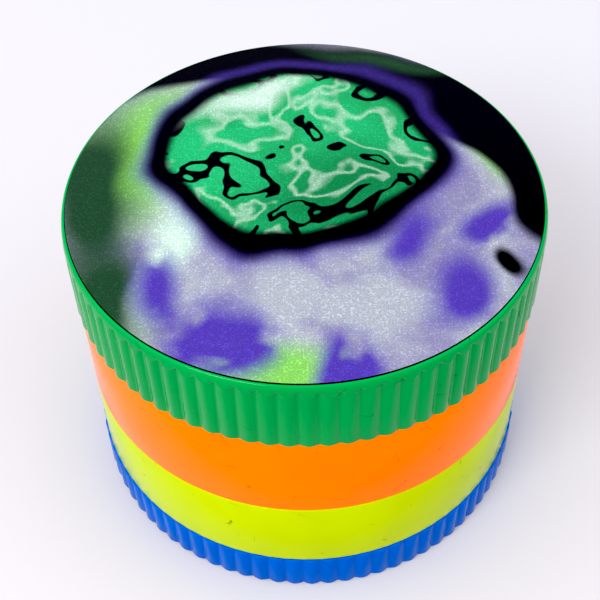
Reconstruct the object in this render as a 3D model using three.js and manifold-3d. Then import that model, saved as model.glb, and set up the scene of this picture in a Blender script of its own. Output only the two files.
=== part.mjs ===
// Four-part hand grinder: a ribbed tray, a sieve chamber, a grinding chamber and a ribbed lid,
// stacked on the Z axis. Millimetres, +Z up, origin at the centre of the underside.
//
// The tray, the sieve chamber and the grinding chamber screw together with single-start
// right-hand threads. The lid is lifted off, and turns freely on the grinding chamber's collar.

import * as THREE from 'three';
import { mergeVertices } from 'three/addons/utils/BufferGeometryUtils.js';
import Module from 'manifold-3d';

const wasm = await Module();
wasm.setup();

// ---------------------------------------------------------------------------
// Driving dimensions
// ---------------------------------------------------------------------------

// Outside of the stack. Each height runs from one seam to the next.
const outerDiameter = 63.0; // over the crests of the ribs
const trayHeight = 6.8;
const sieveHeight = 13.1;
const grinderHeight = 15.1;
const lidHeight = 12.0;
const smoothRingInset = 0.3; // radius of the smooth rings, below the rib crests
const seamGap = 0.3; // open height of each seam
const seamChamfer = 0.35;
const footChamfer = 0.5;

// Ribs around the lid and the tray
const ribCount = 80;
const ribDepth = 0.3;
const ribShare = 0.58; // the rib's part of the pitch, the valley has the rest
const ribShoulderDrop = 0.4; // a rib's fall at its shoulder, as a part of the ribs' depth
const rimBandHeight = 1.35; // smooth band between the ribs and the top of the lid

// Walls and floors
const skirtWall = 1.6; // lid skirt, tray wall and the wall round each threaded socket
const collarWall = 1.2;
const spigotWall = 1.2;
const trayFloor = 1.5;
const grinderFloor = 2.0;
const grinderFloorRise = 3.0; // underside of the grinding floor, above its seam
const lidPlate = 2.5;
const lipChamfer = 0.3; // on the free edges of spigots and collar

// Printed disc in the lid
const rimLip = 0.7; // width of the rim round the disc
const rimRise = 0.3; // rim above the disc
const discThickness = 0.6;

// Threads
const threadPitch = 2.0;
const threadDepth = 0.6;
const threadRootWidth = 0.7;
const threadCrestWidth = 0.3;
const threadTurns = 1.2;
const threadLead = 0.5; // from a spigot's end, or a socket's mouth, to the ridge's middle
const spigotLength = 3.6;
const socketRelief = 0.8; // room under a spigot at the bottom of its socket

// Screen and the ring that holds it
const screenThickness = 0.4;
const ledgeWidth = 2.2;
const ledgeThickness = 1.2;
const ledgeRise = 0.2; // underside of the ledge, above its seam
const retainerThickness = 1.2;
const retainerWidth = 1.9;

// Teeth: diamonds in rings, the outermost ring standing on the grinding floor, the next one
// hanging from the lid, and so on inwards
const toothLength = 3.6; // along the ring
const toothWidth = 2.4; // across the ring
const toothSpacing = 10.5; // along the ring, about
const toothRingGap = 1.8;
const toothWallGap = 3.4; // outermost ring to the chamber wall
const lidToothTipGap = 1.5; // tip of a lid tooth to the grinding floor
const floorToothTipGap = 3.2; // tip of a floor tooth to the lid

// Drop holes, on the circles that the lid's teeth sweep
const dropHoleDiameter = 3.6;
const dropHoleSpacing = 7.4; // along the circle, about

// Magnets in the lid's boss and on the chamber's post
const magnetDiameter = 8.0;
const magnetThickness = 2.5;
const magnetGap = 0.8; // between the boss and the post
const magnetWall = 1.6;
const lidBossLength = 3.5;

// Nylon ring between the collar and the lid
const frictionRingThickness = 1.2;

// Clearances
const restGap = 0.3; // between two pieces that rest on or sit in each other
const collarClearance = 0.35; // collar in the lid's skirt, on the radius
const threadClearance = 0.3; // crest to root, on the radius

// Fineness of round surfaces
const roundSegments = 60;
const holeSegments = 10;
const magnetSegments = 30;
const weld = 0.3; // how far a joined feature is sunk into what carries it

// ---------------------------------------------------------------------------
// Sizes that follow
// ---------------------------------------------------------------------------

const outerRadius = outerDiameter / 2;
const valleyRadius = outerRadius - ribDepth;
const ringRadius = outerRadius - smoothRingInset;
const socketRadius = Math.min(valleyRadius, ringRadius) - skirtWall;

const collarRadius = socketRadius - collarClearance;
const chamberRadius = collarRadius - collarWall;

const spigotCrestRadius = socketRadius - threadClearance;
const spigotRadius = spigotCrestRadius - threadDepth;
const spigotInnerRadius = spigotRadius - spigotWall;
const socketDepth = spigotLength + socketRelief;

// Heights in the lid, above its seam
const discBottom = lidHeight - rimRise - discThickness;
const recessFloor = discBottom - restGap;
const lidUnderside = recessFloor - lidPlate;
const collarTop = lidUnderside - restGap - frictionRingThickness - restGap;

// Heights in the grinding chamber, above its seam
const grinderFloorTop = grinderFloorRise + grinderFloor;
const lidUndersideInGrinder = grinderHeight + lidUnderside;
const toothRoom = lidUndersideInGrinder - grinderFloorTop;
const postTop = lidUndersideInGrinder - lidBossLength - magnetGap;

// Heights in the sieve chamber, above its seam
const ledgeTop = ledgeRise + ledgeThickness;
const screenBottom = ledgeTop + restGap;
const retainerBottom = screenBottom + screenThickness + restGap;

const pocketRadius = magnetDiameter / 2 + restGap;
const bossRadius = pocketRadius + magnetWall;
const pocketDepth = magnetThickness + 2 * restGap;

// Radii of the tooth rings, from the wall inwards, while there is room round the boss
const toothRingPitch = toothWidth + toothRingGap;
const toothRings = [];
for (
  let radius = chamberRadius - toothWallGap - toothWidth / 2;
  radius - toothWidth / 2 > bossRadius + toothRingGap / 2;
  radius -= toothRingPitch
) {
  toothRings.push(radius);
}
const floorToothRings = toothRings.filter((radius, index) => index % 2 === 0);
const lidToothRings = toothRings.filter((radius, index) => index % 2 === 1);

// ---------------------------------------------------------------------------
// Solids
// ---------------------------------------------------------------------------

// A closed three.js geometry as a solid that can be joined and cut
function toSolid(geometry) {
  geometry.deleteAttribute('normal');
  geometry.deleteAttribute('uv');
  const merged = mergeVertices(geometry);
  const index = merged.index.array;
  const triVerts = [];
  for (let i = 0; i < index.length; i += 3) {
    const [a, b, c] = [index[i], index[i + 1], index[i + 2]];
    if (a !== b && b !== c && c !== a) {
      triVerts.push(a, b, c);
    }
  }
  return new wasm.Manifold(
    new wasm.Mesh({
      numProp: 3,
      vertProperties: new Float32Array(merged.attributes.position.array),
      triVerts: new Uint32Array(triVerts),
    }),
  );
}

function toGeometry(solid) {
  const mesh = solid.getMesh();
  const geometry = new THREE.BufferGeometry();
  geometry.setAttribute('position', new THREE.BufferAttribute(mesh.vertProperties, 3));
  geometry.setIndex(new THREE.BufferAttribute(mesh.triVerts, 1));
  geometry.computeVertexNormals();
  return geometry;
}

// Turns a profile of [radius, height] points about the Z axis. The points run anticlockwise,
// seen with the radius to the right and the height up.
function turned(profile, segments = roundSegments) {
  const points = profile.map(([radius, height]) => new THREE.Vector2(radius, height));
  return new THREE.LatheGeometry(points, segments).rotateX(Math.PI / 2);
}

// The same for a profile that doesn't meet the axis, closed on itself
function turnedLoop(profile, segments = roundSegments) {
  return turned([...profile, profile[0]], segments);
}

function rod(radius, bottom, top, segments = roundSegments) {
  return turned([[0, bottom], [radius, bottom], [radius, top], [0, top]], segments);
}

function washer(innerRadius, radius, bottom, top) {
  return turnedLoop([
    [innerRadius, bottom],
    [radius, bottom],
    [radius, top],
    [innerRadius, top],
  ]);
}

// Outline of a ribbed ring: each rib has a crest and two shoulders, with a valley between ribs
function ribbedOutline() {
  const pitch = (2 * Math.PI) / ribCount;
  const shoulderPart = ribShare / 2;
  const shoulderRadius = outerRadius - ribShoulderDrop * ribDepth;
  const steps = [
    [0, outerRadius],
    [shoulderPart, shoulderRadius],
    [0.5, valleyRadius],
    [1 - shoulderPart, shoulderRadius],
  ];
  const points = [];
  for (let rib = 0; rib < ribCount; rib += 1) {
    for (const [part, radius] of steps) {
      const angle = (rib + part) * pitch;
      points.push(new THREE.Vector2(radius * Math.cos(angle), radius * Math.sin(angle)));
    }
  }
  return new THREE.Shape(points);
}

function ribbedSolid(bottom, top) {
  const geometry = new THREE.ExtrudeGeometry(ribbedOutline(), {
    depth: top - bottom,
    bevelEnabled: false,
  });
  return toSolid(geometry.translate(0, 0, bottom));
}

// Path of a thread: a helix that rises anticlockwise, so the thread is right-handed. Its frames
// keep the section upright, with the section's x axis pointing at the Z axis.
class Helix extends THREE.Curve {
  constructor(radius, pitch, turns) {
    super();
    this.radius = radius;
    this.pitch = pitch;
    this.turns = turns;
  }

  getPoint(t, target = new THREE.Vector3()) {
    const angle = 2 * Math.PI * this.turns * t;
    return target.set(
      this.radius * Math.cos(angle),
      this.radius * Math.sin(angle),
      this.pitch * this.turns * t,
    );
  }

  computeFrenetFrames(segments) {
    const frames = { tangents: [], normals: [], binormals: [] };
    for (let i = 0; i <= segments; i += 1) {
      const angle = (2 * Math.PI * this.turns * i) / segments;
      frames.tangents.push(new THREE.Vector3(-Math.sin(angle), Math.cos(angle), 0));
      frames.normals.push(new THREE.Vector3(-Math.cos(angle), -Math.sin(angle), 0));
      frames.binormals.push(new THREE.Vector3(0, 0, 1));
    }
    return frames;
  }
}

// One thread ridge. inward is 1 for a ridge in a socket and -1 for one on a spigot. bottom is
// the height of the ridge's middle at its lower end. phase shifts the ridge by part of a pitch.
// Its ends stand at whole steps of the round surface that carries it.
function threadRidge(rootRadius, inward, bottom, phase) {
  const section = new THREE.Shape([
    new THREE.Vector2(-inward * weld, -threadRootWidth / 2),
    new THREE.Vector2(inward * threadDepth, -threadCrestWidth / 2),
    new THREE.Vector2(inward * threadDepth, threadCrestWidth / 2),
    new THREE.Vector2(-inward * weld, threadRootWidth / 2),
  ]);
  const steps = Math.round(threadTurns * roundSegments);
  const ridge = new THREE.ExtrudeGeometry(section, {
    steps,
    bevelEnabled: false,
    extrudePath: new Helix(rootRadius, threadPitch, steps / roundSegments),
  });
  const startTurns = Math.round((bottom / threadPitch - phase) * roundSegments) / roundSegments;
  ridge.rotateZ(2 * Math.PI * startTurns);
  ridge.translate(0, 0, threadPitch * (startTurns + phase));
  return toSolid(ridge);
}

// Ridges of one screwed joint, in heights above its seam. Both follow the same helix, half a
// pitch apart, so they pass each other as the joint is unscrewed.
function spigotThread() {
  return threadRidge(spigotRadius, -1, threadLead - spigotLength, 0);
}

function socketThread() {
  return threadRidge(socketRadius, 1, -threadLead - threadTurns * threadPitch, 0.5);
}

// Rings of diamond teeth between two heights
function toothSolids(ringRadii, bottom, top) {
  const solids = [];
  for (const radius of ringRadii) {
    const count = Math.round((2 * Math.PI * radius) / toothSpacing);
    for (let i = 0; i < count; i += 1) {
      const diamond = new THREE.Shape([
        new THREE.Vector2(-toothWidth / 2, 0),
        new THREE.Vector2(0, -toothLength / 2),
        new THREE.Vector2(toothWidth / 2, 0),
        new THREE.Vector2(0, toothLength / 2),
      ]);
      const tooth = new THREE.ExtrudeGeometry(diamond, {
        depth: top - bottom,
        bevelEnabled: false,
      });
      tooth.translate(radius, 0, bottom).rotateZ((2 * Math.PI * (i + 0.5)) / count);
      solids.push(toSolid(tooth));
    }
  }
  return solids;
}

// ---------------------------------------------------------------------------
// Pieces. Each is built with height zero at its ring's seam.
// ---------------------------------------------------------------------------

function baseTray() {
  const outside = toSolid(turned([
    [0, 0],
    [outerRadius - footChamfer, 0],
    [outerRadius + weld, footChamfer + weld],
    [outerRadius + weld, trayHeight - seamChamfer - weld],
    [outerRadius - seamChamfer, trayHeight],
    [0, trayHeight],
  ]));
  const inside = toSolid(rod(socketRadius, trayFloor, trayHeight + weld));
  const thread = socketThread().translate([0, 0, trayHeight]);
  return ribbedSolid(0, trayHeight).intersect(outside).subtract(inside).add(thread);
}

function sieveChamber() {
  const body = toSolid(turnedLoop([
    [spigotInnerRadius, -spigotLength],
    [spigotRadius - lipChamfer, -spigotLength],
    [spigotRadius, lipChamfer - spigotLength],
    [spigotRadius, seamGap],
    [ringRadius - seamChamfer, seamGap],
    [ringRadius, seamGap + seamChamfer],
    [ringRadius, sieveHeight - seamChamfer],
    [ringRadius - seamChamfer, sieveHeight],
    [socketRadius, sieveHeight],
    [socketRadius, sieveHeight - socketDepth],
    [spigotInnerRadius, sieveHeight - socketDepth],
    [spigotInnerRadius, ledgeTop],
    [spigotInnerRadius - ledgeWidth, ledgeTop],
    [spigotInnerRadius - ledgeWidth, ledgeRise],
    [spigotInnerRadius, ledgeRise],
  ]));
  return body.add(spigotThread()).add(socketThread().translate([0, 0, sieveHeight]));
}

function sieveScreen() {
  return rod(spigotInnerRadius - restGap, 0, screenThickness);
}

function screenRetainer() {
  const radius = spigotInnerRadius - restGap;
  return washer(radius - retainerWidth, radius, 0, retainerThickness);
}

function grindingChamber() {
  let body = toSolid(turned([
    [0, grinderFloorRise],
    [spigotInnerRadius, grinderFloorRise],
    [spigotInnerRadius, -spigotLength],
    [spigotRadius - lipChamfer, -spigotLength],
    [spigotRadius, lipChamfer - spigotLength],
    [spigotRadius, seamGap],
    [ringRadius - seamChamfer, seamGap],
    [ringRadius, seamGap + seamChamfer],
    [ringRadius, grinderHeight - seamChamfer],
    [ringRadius - seamChamfer, grinderHeight],
    [collarRadius, grinderHeight],
    [collarRadius, grinderHeight + collarTop - lipChamfer],
    [collarRadius - lipChamfer, grinderHeight + collarTop],
    [chamberRadius, grinderHeight + collarTop],
    [chamberRadius, grinderFloorTop],
    [bossRadius, grinderFloorTop],
    [bossRadius, postTop],
    [pocketRadius, postTop],
    [pocketRadius, postTop - pocketDepth],
    [0, postTop - pocketDepth],
  ]));
  body = body.add(spigotThread());
  const toothTop = grinderFloorTop + toothRoom - floorToothTipGap;
  for (const tooth of toothSolids(floorToothRings, grinderFloorTop - weld, toothTop)) {
    body = body.add(tooth);
  }
  for (const radius of lidToothRings) {
    const count = Math.round((2 * Math.PI * radius) / dropHoleSpacing);
    for (let i = 0; i < count; i += 1) {
      const hole = rod(
        dropHoleDiameter / 2,
        grinderFloorRise - weld,
        grinderFloorTop + weld,
        holeSegments,
      );
      body = body.subtract(toSolid(hole.translate(radius, 0, 0).rotateZ((2 * Math.PI * i) / count)));
    }
  }
  return body;
}

function magnet() {
  return rod(magnetDiameter / 2, 0, magnetThickness, magnetSegments);
}

function frictionRing() {
  return washer(chamberRadius, socketRadius - restGap, 0, frictionRingThickness);
}

function lidShell() {
  const bandBottom = lidHeight - rimBandHeight;
  const outside = toSolid(turned([
    [0, seamGap],
    [outerRadius - seamChamfer, seamGap],
    [outerRadius + weld, seamGap + seamChamfer + weld],
    [outerRadius + weld, bandBottom],
    [0, bandBottom],
  ]));
  const rim = toSolid(turned([
    [0, bandBottom - weld],
    [outerRadius - ribDepth, bandBottom - weld],
    [outerRadius, bandBottom],
    [outerRadius, lidHeight - seamChamfer],
    [outerRadius - seamChamfer, lidHeight],
    [0, lidHeight],
  ]));
  const recess = toSolid(rod(outerRadius - rimLip, recessFloor, lidHeight + weld));
  const cavity = toSolid(rod(socketRadius, seamGap - weld, lidUnderside));
  const bossBottom = lidUnderside - lidBossLength;
  const boss = toSolid(rod(bossRadius, bossBottom, lidUnderside + weld, magnetSegments));
  const pocket = toSolid(rod(pocketRadius, bossBottom - weld, bossBottom + pocketDepth, magnetSegments));
  let shell = ribbedSolid(seamGap, bandBottom).intersect(outside).add(rim);
  shell = shell.subtract(recess).subtract(cavity).add(boss).subtract(pocket);
  const toothBottom = lidUnderside - toothRoom + lidToothTipGap;
  for (const tooth of toothSolids(lidToothRings, toothBottom, lidUnderside + weld)) {
    shell = shell.add(tooth);
  }
  return shell;
}

function lidDisc() {
  return rod(outerRadius - rimLip - restGap, 0, discThickness);
}

// ---------------------------------------------------------------------------
// Finishes
// ---------------------------------------------------------------------------

function finish(color, roughness, metalness) {
  return new THREE.MeshStandardMaterial({ color, roughness, metalness });
}

const bluePaint = finish(0x035dc1, 0.3, 0.2);
const limePaint = finish(0xc6dc03, 0.28, 0.2);
const orangePaint = finish(0xfd8102, 0.28, 0.2);
const greenPaint = finish(0x05a852, 0.28, 0.2);
const printedFilm = finish(0x9fa9ae, 0.7, 0.0);
const stainlessWire = finish(0xb9bbb8, 0.35, 0.9);
const springSteel = finish(0xa9abaa, 0.3, 0.95);
const nickelPlate = finish(0xc9c8c4, 0.2, 1.0);
const nylon = finish(0xe9e6dc, 0.45, 0.0);

// ---------------------------------------------------------------------------
// The stack
// ---------------------------------------------------------------------------

function piece(name, shape, material, height = 0) {
  const geometry = shape instanceof THREE.BufferGeometry ? shape : toGeometry(shape);
  const mesh = new THREE.Mesh(geometry, material);
  mesh.name = name;
  mesh.position.z = height;
  return mesh;
}

function ring(height, ...pieces) {
  const group = new THREE.Group();
  group.position.z = height;
  group.add(...pieces);
  return group;
}

const traySeam = trayHeight;
const sieveSeam = traySeam + sieveHeight;
const lidSeam = sieveSeam + grinderHeight;

const grinder = new THREE.Group();
grinder.add(
  ring(0, piece('base_tray', baseTray(), bluePaint)),
  ring(
    traySeam,
    piece('sieve_chamber', sieveChamber(), limePaint),
    piece('sieve_screen', sieveScreen(), stainlessWire, screenBottom),
    piece('screen_retainer', screenRetainer(), springSteel, retainerBottom),
  ),
  ring(
    sieveSeam,
    piece('grinding_chamber', grindingChamber(), orangePaint),
    piece('chamber_magnet', magnet(), nickelPlate, postTop - pocketDepth + restGap),
  ),
  ring(
    lidSeam,
    piece('friction_ring', frictionRing(), nylon, collarTop + restGap),
    piece('lid_shell', lidShell(), greenPaint),
    piece('lid_magnet', magnet(), nickelPlate, lidUnderside - lidBossLength + restGap),
    piece('lid_disc', lidDisc(), printedFilm, discBottom),
  ),
);

export default grinder;
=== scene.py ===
"""Four-part hand grinder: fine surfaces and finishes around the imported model.

Laid out as an add-on: the sizes and colours are properties, each piece has its own operator, and
the panel in the 3D view's sidebar lists them. Every length is in metres.
"""

import math

import bmesh
import bpy
from bpy.props import FloatProperty, FloatVectorProperty, IntProperty, PointerProperty
from mathutils import Matrix, Vector


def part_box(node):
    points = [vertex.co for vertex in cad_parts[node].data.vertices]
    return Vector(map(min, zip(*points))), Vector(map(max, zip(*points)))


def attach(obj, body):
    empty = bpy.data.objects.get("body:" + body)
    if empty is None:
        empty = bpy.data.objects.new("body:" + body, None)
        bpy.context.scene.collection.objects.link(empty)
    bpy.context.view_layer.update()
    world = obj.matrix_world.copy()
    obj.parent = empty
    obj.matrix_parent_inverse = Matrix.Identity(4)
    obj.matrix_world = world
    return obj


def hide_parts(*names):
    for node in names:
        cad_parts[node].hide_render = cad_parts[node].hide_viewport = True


bl_info = {
    "name": "Four-part hand grinder",
    "version": (1, 0, 0),
    "blender": (4, 5, 0),
    "location": "3D View > Sidebar > Grinder",
    "description": "Builds the fine surfaces and finishes of a stacked hand grinder",
    "category": "Object",
}

MM = 0.001

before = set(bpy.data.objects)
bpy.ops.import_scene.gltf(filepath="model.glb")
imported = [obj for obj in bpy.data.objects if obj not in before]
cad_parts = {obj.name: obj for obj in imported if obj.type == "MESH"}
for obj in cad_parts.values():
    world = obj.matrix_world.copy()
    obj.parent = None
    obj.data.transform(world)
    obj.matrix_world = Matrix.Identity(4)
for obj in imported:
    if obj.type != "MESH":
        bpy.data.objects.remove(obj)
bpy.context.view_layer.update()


# --- Places that the frame gives ---

REST_GAP = 0.3 * MM  # between two pieces of the frame that rest on each other

OUTER_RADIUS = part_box("base_tray")[1].x
RING_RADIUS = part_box("sieve_chamber")[1].x
TRAY_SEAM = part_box("base_tray")[1].z
SIEVE_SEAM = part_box("sieve_chamber")[1].z
SPIGOT_LENGTH = TRAY_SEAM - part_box("sieve_chamber")[0].z
COLLAR_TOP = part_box("grinding_chamber")[1].z
LID_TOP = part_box("lid_shell")[1].z
LID_TOOTH_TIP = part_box("lid_shell")[0].z
SOCKET_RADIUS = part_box("friction_ring")[1].x + REST_GAP
LID_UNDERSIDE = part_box("friction_ring")[1].z + REST_GAP
SPIGOT_INNER_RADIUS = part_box("sieve_screen")[1].x + REST_GAP
LEDGE_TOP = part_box("sieve_screen")[0].z - REST_GAP
POCKET_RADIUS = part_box("lid_magnet")[1].y + REST_GAP
POST_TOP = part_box("chamber_magnet")[1].z + REST_GAP
POST_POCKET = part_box("chamber_magnet")[0].z - REST_GAP
BOSS_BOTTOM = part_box("lid_magnet")[0].z - REST_GAP
BOSS_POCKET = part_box("lid_magnet")[1].z + REST_GAP
RECESS_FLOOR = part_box("lid_disc")[0].z - REST_GAP


# --- Sizes and colours that a user would change ---


def linear(code):
    """The linear colour of an sRGB hex code, with full alpha."""
    channels = [int(code[i : i + 2], 16) / 255 for i in (1, 3, 5)]
    curve = [c / 12.92 if c <= 0.04045 else ((c + 0.055) / 1.055) ** 2.4 for c in channels]
    return (*curve, 1.0)


def length(name, millimetres, description):
    return FloatProperty(
        name=name,
        description=description,
        default=millimetres * MM,
        min=0.0,
        unit="LENGTH",
        subtype="DISTANCE",
        precision=5,
    )


def colour(name, code, description):
    return FloatVectorProperty(
        name=name,
        description=description,
        default=linear(code),
        size=4,
        min=0.0,
        max=1.0,
        subtype="COLOR",
    )


class GrinderSizes(bpy.types.PropertyGroup):
    rib_count: IntProperty(name="Ribs", description="Ribs round the lid and the tray", default=80)
    rib_depth: length("Rib depth", 0.35, "From a rib's crest to the bottom of a valley")
    rib_crown: FloatProperty(
        name="Rib crown",
        description="How much of the depth comes from the rounding of the ribs' faces",
        default=0.7,
        subtype="FACTOR",
    )
    valley_share: FloatProperty(
        name="Valley share",
        description="The hollow part of the pitch between two ribs",
        default=0.38,
        subtype="FACTOR",
    )
    scallop: length("Scallop", 1.25, "Height of the arch that ends each valley under the rim")
    rim_band: length("Rim band", 1.0, "Smooth band above the lid's ribs")
    rim_lip: length("Rim lip", 0.60, "Width of the rim round the printed disc")
    disc_rise: length("Disc rise", 0.16, "Printed disc above the rim")
    lid_height: length("Lid height", 12.0, "From the lid's seam to its top")
    seam_line: length("Seam line", 0.07, "Open line between two closed rings")
    seam_edge: length("Seam edge", 0.16, "Rounding of the paint on the rings' edges")
    foot_edge: length("Foot edge", 0.45, "Rounding round the underside")
    collar_wall: length("Collar wall", 1.2, "Wall of the grinding chamber's collar")
    collar_play: length("Collar play", 0.35, "Collar in the lid's skirt, on the radius")
    spigot_wall: length("Spigot wall", 1.2, "Wall under the spigots' threads")
    tray_floor: length("Tray floor", 1.5, "Thickness of the tray's floor")
    grinder_floor: length("Grinding floor", 2.0, "Thickness of the floor with the drop holes")
    grinder_floor_rise: length("Floor rise", 3.0, "Underside of that floor above its seam")
    socket_relief: length("Socket relief", 0.8, "Room under a spigot in its socket")
    magnet_wall: length("Magnet wall", 1.6, "Wall round the magnets")
    thread_pitch: length("Thread pitch", 2.0, "Rise of a thread in one turn")
    thread_depth: length("Thread depth", 0.6, "Height of a thread's ridge")
    thread_root: length("Thread root", 0.72, "Width of a thread's ridge at its root")
    thread_crest: length("Thread crest", 0.28, "Width of a thread's ridge at its crest")
    thread_lead: length("Thread lead", 0.5, "Plain wall ahead of a thread")
    thread_turns: FloatProperty(name="Thread turns", description="Length of a thread", default=1.2)
    tooth_length: length("Tooth length", 3.6, "A diamond tooth along its ring")
    tooth_width: length("Tooth width", 2.4, "A diamond tooth across its ring")
    tooth_spacing: length("Tooth spacing", 10.5, "From tooth to tooth along a ring, about")
    tooth_ring_gap: length("Tooth ring gap", 1.8, "Between two rings of teeth")
    tooth_wall_gap: length("Tooth wall gap", 3.4, "From the outermost teeth to the wall")
    floor_tooth_gap: length("Floor tooth gap", 3.2, "From the floor's teeth to the lid")
    drop_hole: length("Drop hole", 3.6, "Diameter of the holes in the grinding floor")
    drop_hole_spacing: length("Drop hole spacing", 7.4, "From hole to hole on a circle, about")
    ledge_width: length("Ledge width", 2.2, "Ledge that the screen lies on")
    ledge_thickness: length("Ledge thickness", 1.2, "Thickness of that ledge")
    wire_pitch: length("Wire pitch", 1.0, "From wire to wire in the screen")
    wire: length("Wire", 0.2, "Diameter of the screen's wires")
    retainer_width: length("Retainer width", 1.9, "Width of the screen's ring")


class GrinderColours(bpy.types.PropertyGroup):
    green: colour("Green enamel", "#037d39", "Lid")
    orange: colour("Orange enamel", "#f96703", "Grinding chamber")
    lime: colour("Lime enamel", "#9fb105", "Sieve chamber")
    blue: colour("Blue enamel", "#024ca2", "Tray")
    print_grey: colour("Print grey", "#7a7e86", "Ground of the printed disc")
    print_lavender: colour("Print lavender", "#63617c", "Second ground of the printed disc")
    print_violet: colour("Print violet", "#372878", "Violet spray")
    print_green: colour("Print green", "#15713f", "Green spray")
    print_deep_green: colour("Print deep green", "#17301f", "Dark green spray")
    print_glow: colour("Print glow", "#5c9141", "Yellow-green spray")
    print_black: colour("Print black", "#050508", "Black spray")
    print_mint: colour("Print mint", "#93a99c", "Pale spray")
    nickel: colour("Nickel", "#cfccc6", "Plating of the magnets")
    steel: colour("Steel", "#b9bab8", "Screen and its ring")
    nylon: colour("Nylon", "#e6e3d8", "Friction ring")
    floor: colour("Floor", "#a5a4a8", "Surface that the grinder stands on")
    surroundings: colour("Surroundings", "#f6f5fa", "Room round the grinder")


# --- Modelling ---

# Faces round a shape, across a rib with its valley, and across a rounded edge
PLAIN_STEPS = 240
DISC_STEPS = 480
MAGNET_STEPS = 96
BORE_STEPS = 24
RIB_STEPS = 16
FILLET_STEPS = 4
WIRE_SIDES = 6
EIGHTHS = 8  # a turned body is made of this many like parts

# Rows of faces up a wall, close enough for what is shaped into them
THREAD_ROW = 0.14 * MM
RIM_ROW = 0.12 * MM

# Roundings of the castings, by the place that they are in
RECESS_LIP = 0.02 * MM
POCKET_MOUTH = 0.1 * MM  # round a magnet, and in the root of a spigot
LEDGE_EDGE = 0.2 * MM
INNER_LIP = 0.25 * MM  # and on the magnets and the nylon ring
OUTER_LIP = 0.3 * MM
SOCKET_CORNER = 0.3 * MM
POST_HEAD = 0.4 * MM
POST_FOOT = 0.6 * MM
FLOOR_CORNER = 0.5 * MM
TRAY_CORNER = 0.7 * MM
CHAMBER_CORNER = 0.8 * MM

SHARP_ANGLE = math.radians(38)  # two faces that meet at more than this have a hard edge
SAME_PLACE = 1e-6


def wire_section(corners, closed=True):
    """A section in the XZ plane. Each corner is (radius, height, rounding)."""
    bm = bmesh.new()
    verts = [bm.verts.new((radius, 0, height)) for radius, height, _ in corners]
    pairs = list(zip(verts, verts[1:]))
    if closed:
        pairs.append((verts[-1], verts[0]))
    for pair in pairs:
        bm.edges.new(pair)
    rounded = {}
    for vert, (_, _, fillet) in zip(verts, corners):
        if fillet:
            rounded.setdefault(fillet, []).append(vert)
    for fillet, group in rounded.items():
        bmesh.ops.bevel(
            bm,
            geom=group,
            offset=fillet,
            offset_type="OFFSET",
            affect="VERTICES",
            segments=FILLET_STEPS,
            profile=0.5,
            material=-1,
        )
    return bm


def add_rows(bm, radius, low, high, spacing):
    """Cuts the steep edges of a section near one radius into rows between two heights."""
    reach = 0.08 * MM
    steepness = 4

    def steep():
        for edge in list(bm.edges):
            a, b = sorted(edge.verts, key=lambda vert: vert.co.z)
            near = max(abs(a.co.x - radius), abs(b.co.x - radius)) < reach
            if near and b.co.z - a.co.z > steepness * abs(b.co.x - a.co.x):
                yield edge, a, b

    def too_long():
        for edge, a, b in steep():
            inside = a.co.z > low - SAME_PLACE and b.co.z < high + SAME_PLACE
            if inside and b.co.z - a.co.z > spacing + SAME_PLACE:
                return edge, math.ceil((b.co.z - a.co.z) / spacing) - 1
        return None

    for height in (low, high):
        for edge, a, b in steep():
            if a.co.z + SAME_PLACE < height < b.co.z - SAME_PLACE:
                bmesh.utils.edge_split(edge, a, (height - a.co.z) / (b.co.z - a.co.z))
                break
    # A cut can replace the other edges too, so they are looked up afresh after each one
    while found := too_long():
        bmesh.ops.subdivide_edges(bm, edges=[found[0]], cuts=found[1])


def turn(bm, steps):
    """Turns a section about the Z axis into a closed body: one eighth, then copies of it."""
    eighth = math.tau / EIGHTHS
    copies = EIGHTHS - 1
    for angle, count, copy in ((eighth, steps // EIGHTHS, False), (eighth * copies, copies, True)):
        bmesh.ops.spin(
            bm,
            geom=bm.verts[:] + bm.edges[:] + bm.faces[:],
            cent=(0, 0, 0),
            axis=(0, 0, 1),
            dvec=(0, 0, 0),
            angle=angle,
            steps=count,
            use_merge=False,
            use_normal_flip=False,
            use_duplicate=copy,
        )
    bmesh.ops.remove_doubles(bm, verts=bm.verts[:], dist=SAME_PLACE)
    bmesh.ops.recalc_face_normals(bm, faces=bm.faces[:])
    return bm


def add_mesh(bm, part, matrix):
    """Adds a copy of a small mesh, moved by a matrix, and frees the small one."""
    bmesh.ops.transform(part, matrix=matrix, verts=part.verts[:])
    mesh = bpy.data.meshes.new("part_in_work")
    part.to_mesh(mesh)
    part.free()
    bm.from_mesh(mesh)
    bpy.data.meshes.remove(mesh)


def ease(x):
    """0 below 0, 1 above 1, and a smooth rise between."""
    x = min(max(x, 0.0), 1.0)
    return x * x * (3 - 2 * x)


def press_ribs(bm, sizes, top=None):
    """Shapes an outer wall into rounded ribs with hollows between them. Under a rim, which starts
    at top, each hollow ends in an arch."""
    fade = 2  # a hollow dies away over the scallop's height divided by this
    arch = 1.4  # how much lower it does so at its sides
    half_valley = sizes.valley_share / 2
    wall = OUTER_RADIUS - 2 * sizes.rib_depth
    for vert in bm.verts:
        radius = math.hypot(vert.co.x, vert.co.y)
        if radius < wall or (top is not None and vert.co.z > top):
            continue
        part = (math.atan2(vert.co.y, vert.co.x) / math.tau * sizes.rib_count) % 1.0
        from_crest = min(part, 1 - part)
        crown = math.sin(math.pi * from_crest) ** 2
        hollow = 1 - ease((0.5 - from_crest) / half_valley)
        depth = sizes.rib_depth * (sizes.rib_crown * crown + (1 - sizes.rib_crown) * hollow)
        if top is not None:
            over = (vert.co.z - top) / sizes.scallop
            depth *= 1 - ease(1 + fade * over + arch * (1 - crown))
        vert.co.x *= (radius - depth) / radius
        vert.co.y *= (radius - depth) / radius


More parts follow.
